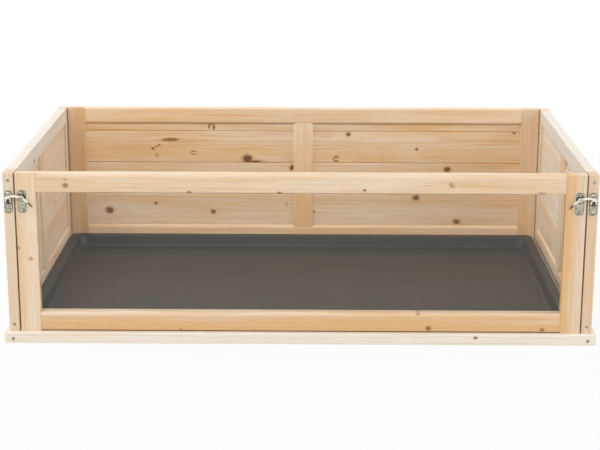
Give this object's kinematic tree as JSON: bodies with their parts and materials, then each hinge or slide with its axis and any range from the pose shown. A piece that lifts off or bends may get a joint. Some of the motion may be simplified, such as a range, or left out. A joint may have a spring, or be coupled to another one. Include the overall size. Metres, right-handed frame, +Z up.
{
  "type": "guinea pig run",
  "caption": "Low open-topped wooden pen on a batten base, with plank walls, a clear lift-out front held by hook latches, and a loose dark tray as its floor.",
  "frame": {"origin": "on the floor, under the middle of the base's outline", "axes": "+X to the right along the long side seen from the front, +Y to the back wall, +Z up; the clear front faces -Y"},
  "size_m": [1.16, 0.72, 0.34],
  "materials": {
    "frame_wood": "planed, bare",
    "plank_wood": "planed, bare",
    "batten_wood": "planed, bare",
    "base_wood": "planed, bare",
    "floor_board": "sanded board",
    "dowel_wood": "turned, bare",
    "tray_plastic": "satin",
    "clear_pane": "clear sheet",
    "zinc_plate": "zinc plated",
    "screw_steel": "zinc plated"
  },
  "bodies": {
    "pen": {"back_bottom_rail": "frame_wood", "back_left_stile": "frame_wood", "back_middle_batten": "batten_wood", "back_plank_1": "plank_wood", "back_plank_2": "plank_wood", "back_plank_3": "plank_wood", "back_plank_4": "plank_wood", "back_right_stile": "frame_wood", "back_top_rail": "frame_wood", "base_back_batten": "base_wood", "base_corner_screws": "screw_steel", "base_front_batten": "base_wood", "base_left_batten": "base_wood", "base_left_slat": "base_wood", "base_right_batten": "base_wood", "base_right_slat": "base_wood", "base_slat_screws": "screw_steel", "base_wall_screws": "screw_steel", "catch_plate_screws": "screw_steel", "corner_screws": "screw_steel", "floor_panel": "floor_board", "left_back_stile": "frame_wood", "left_bottom_rail": "frame_wood", "left_catch_plate": "zinc_plate", "left_front_stile": "frame_wood", "left_middle_batten": "batten_wood", "left_plank_1": "plank_wood", "left_plank_2": "plank_wood", "left_plank_3": "plank_wood", "left_plank_4": "plank_wood", "left_top_rail": "frame_wood", "right_back_stile": "frame_wood", "right_bottom_rail": "frame_wood", "right_catch_plate": "zinc_plate", "right_front_stile": "frame_wood", "right_middle_batten": "batten_wood", "right_plank_1": "plank_wood", "right_plank_2": "plank_wood", "right_plank_3": "plank_wood", "right_plank_4": "plank_wood", "right_top_rail": "frame_wood", "side_frame_screws": "screw_steel"},
    "front_panel": {"front_bottom_rail": "frame_wood", "front_dowels": "dowel_wood", "front_left_stile": "frame_wood", "front_pane": "clear_pane", "front_right_stile": "frame_wood", "front_top_rail": "frame_wood", "left_hook_rivet": "zinc_plate", "left_pivot_plate": "zinc_plate", "pivot_plate_screws": "screw_steel", "right_hook_rivet": "zinc_plate", "right_pivot_plate": "zinc_plate"},
    "left_latch_hook": {"left_hook": "zinc_plate"},
    "right_latch_hook": {"right_hook": "zinc_plate"},
    "litter_tray": {"tray": "tray_plastic"}
  },
  "joints": [
    {"name": "front_lift", "type": "slide", "parent": "pen", "child": "front_panel", "axis": [0, 0, 1], "range_m": [0, 0.34]},
    {"name": "tray_lift", "type": "slide", "parent": "pen", "child": "litter_tray", "axis": [0, 0, 1], "range_m": [0, 0.34]},
    {"name": "left_hook_pivot", "type": "hinge", "parent": "front_panel", "child": "left_latch_hook", "pos_m": [-0.5365, -0.3564, 0.2925], "axis": [0, 1, 0], "range_deg": [0, 100]},
    {"name": "right_hook_pivot", "type": "hinge", "parent": "front_panel", "child": "right_latch_hook", "pos_m": [0.5365, -0.3564, 0.2925], "axis": [0, -1, 0], "range_deg": [0, 100]}
  ]
}
